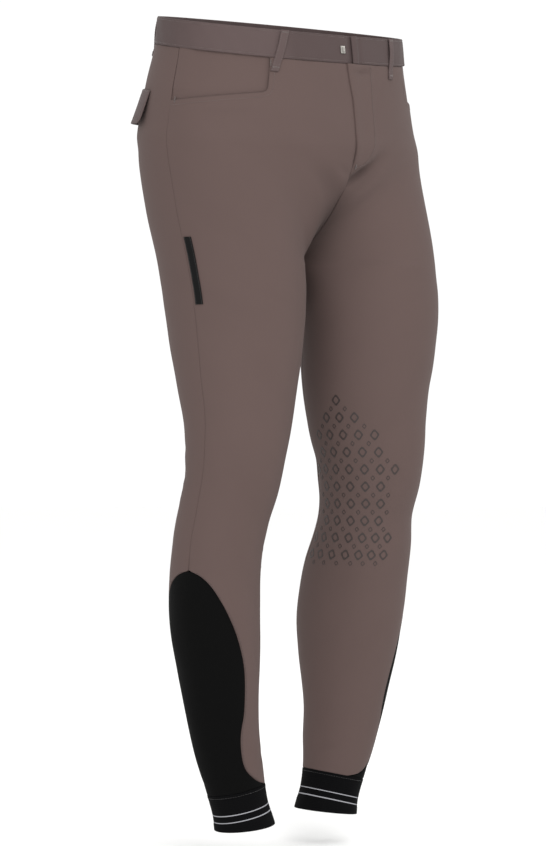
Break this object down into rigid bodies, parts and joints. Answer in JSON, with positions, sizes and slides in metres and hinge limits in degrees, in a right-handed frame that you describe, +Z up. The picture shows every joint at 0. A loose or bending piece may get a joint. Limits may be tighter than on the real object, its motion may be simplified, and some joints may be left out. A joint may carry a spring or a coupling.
{
  "type": "riding breeches",
  "caption": "men's riding breeches worn in a slight stride with no wearer: hollow taupe cloth, waistband with loops, black stretch calf panels and cuffs",
  "frame": {"origin": "the middle of the waist opening, halfway up the waistband, where the wearer's waist holds the garment", "axes": "+Z up out of the waist opening, -Y is the garment's front, +X is the wearer's left"},
  "size_m": [0.379, 0.2748, 0.9685],
  "materials": {
    "leg_cloth": "smooth matt stretch twill with a faint sheen",
    "band_cloth": "the same cloth, doubled",
    "black_stretch": "fine matt stretch jersey",
    "cuff_elastic": "finely ribbed elastic",
    "label_tape": "matt woven tape",
    "hook_steel": "plain"
  },
  "bodies": {
    "root": {"front_right_hip": "leg_cloth", "front_right_thigh": "leg_cloth", "front_right_calf": "leg_cloth", "front_left_hip": "leg_cloth", "front_left_thigh": "leg_cloth", "front_left_calf": "leg_cloth", "back_right_hip": "leg_cloth", "back_right_thigh": "leg_cloth", "back_right_calf": "leg_cloth", "back_left_hip": "leg_cloth", "back_left_thigh": "leg_cloth", "back_left_calf": "leg_cloth", "hip_facing_right": "leg_cloth", "hip_facing_left": "leg_cloth", "fly_shield": "leg_cloth", "calf_panel_right": "black_stretch", "calf_panel_left": "black_stretch", "cuff_right": "cuff_elastic", "cuff_left": "cuff_elastic", "waistband_left": "band_cloth", "waistband_right": "band_cloth", "belt_loop_front_right": "band_cloth", "belt_loop_side_right": "band_cloth", "belt_loop_front_left": "band_cloth", "belt_loop_side_left": "band_cloth", "belt_loop_back": "band_cloth", "back_pocket_flap_right": "band_cloth", "back_pocket_flap_left": "band_cloth", "side_label": "label_tape", "waist_hook": "hook_steel"}
  },
  "joints": []
}
